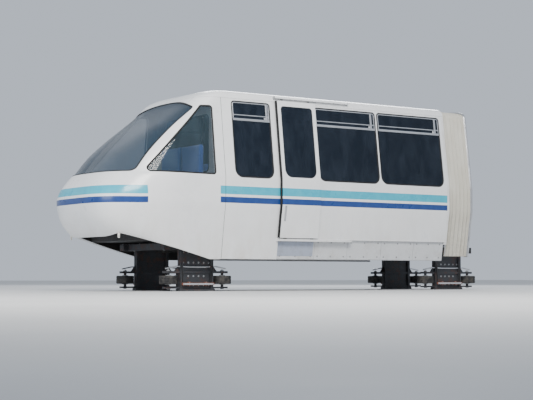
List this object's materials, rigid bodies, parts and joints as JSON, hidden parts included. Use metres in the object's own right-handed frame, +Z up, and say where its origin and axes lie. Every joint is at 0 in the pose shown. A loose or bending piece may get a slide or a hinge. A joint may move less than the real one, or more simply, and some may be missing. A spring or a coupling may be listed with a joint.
{
  "type": "straddle monorail lead car",
  "caption": "Lead car of a small straddle-beam monorail with raked nose, side sliding doors, benches, gangway bellows and two rubber-tyred bogies with side guide wheels.",
  "frame": {"origin": "middle of the length and width, on the plane of the bogie landing shoes", "axes": "+X forward to the nose, +Y to the left side, +Z up"},
  "size_m": [6.5441, 2.084, 2.748],
  "materials": {
    "body_white": "gloss white gelcoat with a cyan and a navy stripe",
    "skirt_grey": "satin pale grey moulding",
    "chassis_steel": "dark grey painted steel",
    "glazing": "grey tinted glass",
    "black_rubber": "matt black rubber",
    "aluminium_frame": "anodised aluminium",
    "interior_grey": "textured grey laminate",
    "seat_fabric": "blue woven seat cloth",
    "bellows_fabric": "off-white coated bellows cloth",
    "bogie_steel": "dark painted steel with road grime",
    "tyre_rubber": "worn black tyre on a grey rim",
    "guide_tyre": "black solid tyre on a pale hub",
    "motor_casting": "grey painted finned casting",
    "collector_brown": "red-brown insulating bar"
  },
  "bodies": {
    "car": {"nose_shell": "body_white", "roof_shell": "body_white", "side_wall_left": "body_white", "side_wall_right": "body_white", "rear_bulkhead": "body_white", "door_rail_left": "body_white", "door_rail_right": "body_white", "skirt_left": "skirt_grey", "skirt_right": "skirt_grey", "floor_frame": "chassis_steel", "driver_seat_base": "chassis_steel", "windscreen": "glazing", "quarter_glass_left": "glazing", "quarter_glass_right": "glazing", "back_glass": "glazing", "rear_window_left": "glazing", "rear_window_right": "glazing", "middle_window_left": "glazing", "middle_window_right": "glazing", "front_window_left": "glazing", "front_window_right": "glazing", "gangway_frame": "aluminium_frame", "cab_partition": "interior_grey", "driver_desk": "interior_grey", "bench_rear_base": "interior_grey", "bench_middle_base": "interior_grey", "bench_front_base": "interior_grey", "driver_seat_pad": "seat_fabric", "bench_rear_pad": "seat_fabric", "bench_middle_pad": "seat_fabric", "bench_front_pad": "seat_fabric", "bellows": "bellows_fabric"},
    "left_door": {"door_left": "body_white", "door_glass_left": "glazing", "door_edge_left": "black_rubber"},
    "right_door": {"door_right": "body_white", "door_glass_right": "glazing", "door_edge_right": "black_rubber"},
    "front_bogie": {"front_bogie_frame": "bogie_steel", "front_motor": "motor_casting", "front_collector_left": "collector_brown", "front_collector_right": "collector_brown"},
    "front_axle": {"front_wheelset": "tyre_rubber"},
    "front_guide_fore_left": {"front_guide_wheel_fore_left": "guide_tyre"},
    "front_guide_fore_right": {"front_guide_wheel_fore_right": "guide_tyre"},
    "front_guide_aft_left": {"front_guide_wheel_aft_left": "guide_tyre"},
    "front_guide_aft_right": {"front_guide_wheel_aft_right": "guide_tyre"},
    "rear_bogie": {"rear_bogie_frame": "bogie_steel", "rear_motor": "motor_casting", "rear_collector_left": "collector_brown", "rear_collector_right": "collector_brown"},
    "rear_axle": {"rear_wheelset": "tyre_rubber"},
    "rear_guide_fore_left": {"rear_guide_wheel_fore_left": "guide_tyre"},
    "rear_guide_fore_right": {"rear_guide_wheel_fore_right": "guide_tyre"},
    "rear_guide_aft_left": {"rear_guide_wheel_aft_left": "guide_tyre"},
    "rear_guide_aft_right": {"rear_guide_wheel_aft_right": "guide_tyre"}
  },
  "joints": [
    {"name": "front_bogie_yaw", "type": "hinge", "parent": "car", "child": "front_bogie", "pos_m": [1.738, 0, 0.745], "axis": [0, 0, 1], "range_deg": [-7, 7]},
    {"name": "front_axle_spin", "type": "hinge", "parent": "front_bogie", "child": "front_axle", "pos_m": [1.738, 0, 0.745], "axis": [0, 1, 0], "continuous": true},
    {"name": "front_guide_fore_left_spin", "type": "hinge", "parent": "front_bogie", "child": "front_guide_fore_left", "pos_m": [2.159, 0.6, 0.15], "axis": [0, 0, 1], "continuous": true},
    {"name": "front_guide_fore_right_spin", "type": "hinge", "parent": "front_bogie", "child": "front_guide_fore_right", "pos_m": [2.159, -0.6, 0.15], "axis": [0, 0, 1], "continuous": true},
    {"name": "front_guide_aft_left_spin", "type": "hinge", "parent": "front_bogie", "child": "front_guide_aft_left", "pos_m": [1.317, 0.6, 0.15], "axis": [0, 0, 1], "continuous": true},
    {"name": "front_guide_aft_right_spin", "type": "hinge", "parent": "front_bogie", "child": "front_guide_aft_right", "pos_m": [1.317, -0.6, 0.15], "axis": [0, 0, 1], "continuous": true},
    {"name": "rear_bogie_yaw", "type": "hinge", "parent": "car", "child": "rear_bogie", "pos_m": [-2.727, 0, 0.745], "axis": [0, 0, 1], "range_deg": [-7, 7]},
    {"name": "rear_axle_spin", "type": "hinge", "parent": "rear_bogie", "child": "rear_axle", "pos_m": [-2.727, 0, 0.745], "axis": [0, 1, 0], "continuous": true},
    {"name": "rear_guide_fore_left_spin", "type": "hinge", "parent": "rear_bogie", "child": "rear_guide_fore_left", "pos_m": [-2.306, 0.6, 0.15], "axis": [0, 0, 1], "continuous": true},
    {"name": "rear_guide_fore_right_spin", "type": "hinge", "parent": "rear_bogie", "child": "rear_guide_fore_right", "pos_m": [-2.306, -0.6, 0.15], "axis": [0, 0, 1], "continuous": true},
    {"name": "rear_guide_aft_left_spin", "type": "hinge", "parent": "rear_bogie", "child": "rear_guide_aft_left", "pos_m": [-3.148, 0.6, 0.15], "axis": [0, 0, 1], "continuous": true},
    {"name": "rear_guide_aft_right_spin", "type": "hinge", "parent": "rear_bogie", "child": "rear_guide_aft_right", "pos_m": [-3.148, -0.6, 0.15], "axis": [0, 0, 1], "continuous": true},
    {"name": "left_door_slide", "type": "slide", "parent": "car", "child": "left_door", "axis": [-1, 0, 0], "range_m": [0, 0.59]},
    {"name": "right_door_slide", "type": "slide", "parent": "car", "child": "right_door", "axis": [-1, 0, 0], "range_m": [0, 0.59]}
  ]
}
